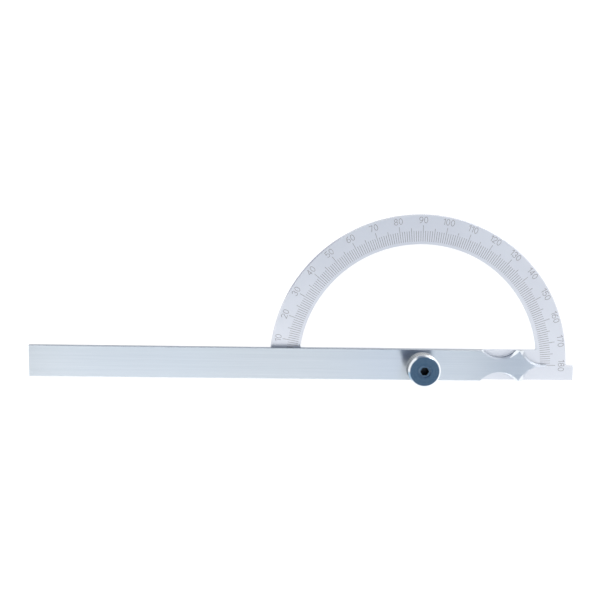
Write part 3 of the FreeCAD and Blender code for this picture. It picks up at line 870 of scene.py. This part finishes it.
def paint_bar(path, width, top):
    """A bar of paint along a path, up to a height.

    Four lines run along it: right foot, right top, left top and left foot. Faces join each line to the
    next one and the last to the first. An open bar has a small face at each end.
    """
    path, square, half, closed = pen_line(path, width)
    left, right = path + square * half[:, None], path - square * half[:, None]
    count = len(path)
    points = np.empty((4, count, 3))
    points[:, :, :2] = right, right, left, left
    points[:, :, 2] = np.array([MARK_FOOT, top, top, MARK_FOOT])[:, None]
    here = np.arange(count if closed else count - 1)[:, None]
    there = (here + 1) % count
    edge = np.arange(4) * count
    next_edge = np.roll(edge, -1)
    walls = np.stack([edge + here, edge + there, next_edge + there, next_edge + here], axis=-1)
    ends = np.empty((0, 4), int) if closed else np.array([edge, edge[::-1] + count - 1])
    return points.reshape(-1, 3), np.concatenate([walls.reshape(-1, 4), ends])


sample_points, sample_faces = paint_bar(DIGITS["7"][0] * MM, NUMERAL_STROKE, MARK_TOP)
print("the upper stroke of a 7 has", len(sample_points), "points and", len(sample_faces), "faces")

# %% [markdown]
# ## Numbers along the scale
#
# A number is centred on its mark, its digits' feet to the pivot. On this plate the numbers stand a
# little further out at the right than at the left. Each stroke of a digit lies a hair lower than the one
# before, because two tops in one plane would shade each other in black specks.

# %% Set the numbers round the scale
NUMERAL_FOOT = 56.63 * MM
NUMERAL_DRIFT = 0.30 * MM
NUMERAL_HEIGHT = 2.3 * MM
NUMERAL_SPACING = 0.26
STROKE_STEP = 0.0015 * MM


def numeral_strokes(label):
    """The strokes of a number round the scale, each with its height.

    A digit's x runs clockwise round the scale and its y outward from the number's foot. The foot's
    distance from the pivot is the mean one plus the drift times the cosine of the mark's angle.
    """
    text = str(label)
    widths = [ONE_WIDTH if digit == "1" else DIGIT_WIDTH for digit in text]
    start = -(sum(widths) + NUMERAL_SPACING * (len(text) - 1)) / 2
    angle = math.radians(180 - label)
    outward = np.array([math.cos(angle), math.sin(angle)])
    clockwise = np.array([math.sin(angle), -math.cos(angle)])
    foot = NUMERAL_FOOT + NUMERAL_DRIFT * math.cos(angle)
    for digit, width in zip(text, widths):
        for order, stroke in enumerate(DIGITS[digit]):
            x = (start + stroke[:, 0]) * NUMERAL_HEIGHT
            y = foot + stroke[:, 1] * NUMERAL_HEIGHT
            yield x[:, None] * clockwise + y[:, None] * outward, MARK_TOP - order * STROKE_STEP
        start += width + NUMERAL_SPACING


points, faces, used = [], [], 0
for label in range(10, 181, 10):
    for path, top in numeral_strokes(label):
        bar_points, bar_faces = paint_bar(path, NUMERAL_STROKE, top)
        points.append(bar_points)
        faces.append(bar_faces + used)
        used += len(bar_points)
numerals = make_mesh_object("degree_numerals", np.concatenate(points), np.concatenate(faces))
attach(numerals, "plate")
print("the numerals have", used, "points in", len(points), "strokes")

# %% [markdown]
# ## The paint in the marks
#
# The etched marks are filled with a dark grey paint, matt and a little worn. A black would stand out
# too hard at this size, so the tone is a warm dark grey that a fine noise breaks up.

# %% Paint the marks and numerals
PAINT_TONE = (0.13, 0.12, 0.125), (0.21, 0.195, 0.20)
PAINT_ROUGHNESS = 0.55, 0.75
PAINT_WEAR = 1500

mark_paint, tree, surface = new_material("mark_paint")
wear = stretched_noise(tree, place_on_piece(tree), (PAINT_WEAR,) * 3)
paint = add_node(tree, "ShaderNodeBsdfPrincipled", metallic=0.0)
feed(tree, (tint_between(tree, spread_between(tree, wear, 0, 1), *PAINT_TONE), paint.inputs["Base Color"]),
     (spread_between(tree, wear, *PAINT_ROUGHNESS), paint.inputs["Roughness"]), (paint.outputs[0], surface))
for piece in (degree_marks, numerals):
    piece.data.materials.append(mark_paint)
    print(piece.name, "gets", mark_paint.name)

# %% [markdown]
# ## The last sizes
#
# The paint must not make the gauge bigger than the model. So the box from now is printed, to set beside
# the one printed at the start.

# %% Write the sizes and finish
visual_box = [list(corner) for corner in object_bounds()]
print("the dressed box in mm:", in_mm(visual_box))
